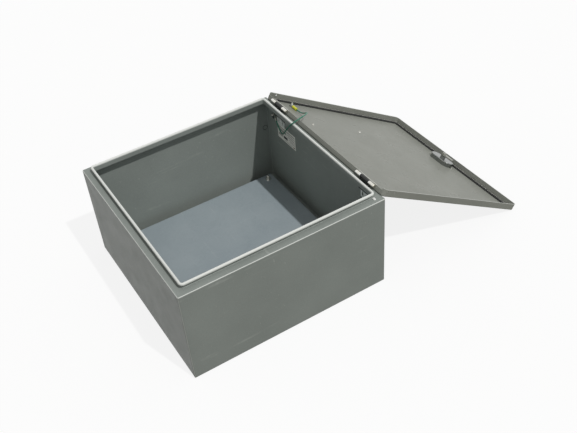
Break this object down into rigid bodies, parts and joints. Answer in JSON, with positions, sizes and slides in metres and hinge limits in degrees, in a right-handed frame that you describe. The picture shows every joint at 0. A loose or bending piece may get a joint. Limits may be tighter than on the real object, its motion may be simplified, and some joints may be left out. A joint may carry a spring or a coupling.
{
  "type": "traffic signal controller cabinet",
  "caption": "Square sheet steel wall or pole mount cabinet for traffic signal control equipment, lying on its back with a hinged gasketed door swung open, inner mounting panel and quarter turn latch.",
  "frame": {"origin": "centre of the outer face of the cabinet's back, which it lies on", "axes": "+Z out of the door opening, +X towards the hinge side and the open door, -Y is the top when the cabinet hangs on a wall or pole"},
  "size_m": [1.1208, 0.61, 0.3402],
  "materials": {
    "body_paint": "semi-gloss grey powder coat on sheet steel",
    "door_paint": "semi-gloss grey powder coat on sheet steel",
    "panel_paint": "smooth blue-grey enamel on sheet steel",
    "gasket_rubber": "black closed cell foam rubber",
    "zinc_steel": "bright zinc plated steel",
    "black_steel": "black coated steel",
    "chrome_zinc": "chromed zinc die casting",
    "wire_green": "green wire insulation",
    "sleeve_yellow": "yellow moulded terminal sleeve",
    "plug_white": "white nylon",
    "label_film": "plain printed film in fields of colour"
  },
  "bodies": {
    "cabinet": {"body_shell": "body_paint", "mounting_panel": "panel_paint", "panel_studs": "zinc_steel", "panel_nuts": "zinc_steel", "hinge_leaf_body_upper": "black_steel", "hinge_leaf_body_lower": "black_steel", "hinge_bracket_upper": "zinc_steel", "hinge_bracket_lower": "zinc_steel", "hinge_studs": "zinc_steel", "hinge_nuts": "zinc_steel", "body_ground_stud": "zinc_steel", "body_ground_lug": "zinc_steel", "body_ground_nut": "zinc_steel", "bonding_wire": "wire_green", "wall_label": "label_film", "flange_plug": "plug_white"},
    "door": {"door_shell": "door_paint", "door_gasket": "gasket_rubber", "hinge_leaf_door_upper": "zinc_steel", "hinge_leaf_door_lower": "zinc_steel", "hinge_pin_upper": "zinc_steel", "hinge_pin_lower": "zinc_steel", "door_ground_stud": "zinc_steel", "door_ground_nut": "zinc_steel", "door_ground_terminal": "zinc_steel", "terminal_sleeve": "sleeve_yellow", "door_weld_studs": "zinc_steel", "latch_housing": "chrome_zinc", "latch_seal": "gasket_rubber", "latch_screws": "zinc_steel"},
    "latch": {"latch_shaft": "zinc_steel", "latch_cam": "zinc_steel", "latch_washer": "zinc_steel", "latch_nut": "zinc_steel", "latch_handle": "chrome_zinc"}
  },
  "joints": [
    {"name": "door_hinge", "type": "hinge", "parent": "cabinet", "child": "door", "pos_m": [0.301, 0, 0.3184], "axis": [0, 1, 0], "range_deg": [-211.45, 0], "deforming": ["bonding_wire"]},
    {"name": "latch_turn", "type": "hinge", "parent": "door", "child": "latch", "pos_m": [0.77723, 0, 0.04868], "axis": [0.5218, 0, 0.8531], "range_deg": [0, 90]}
  ]
}
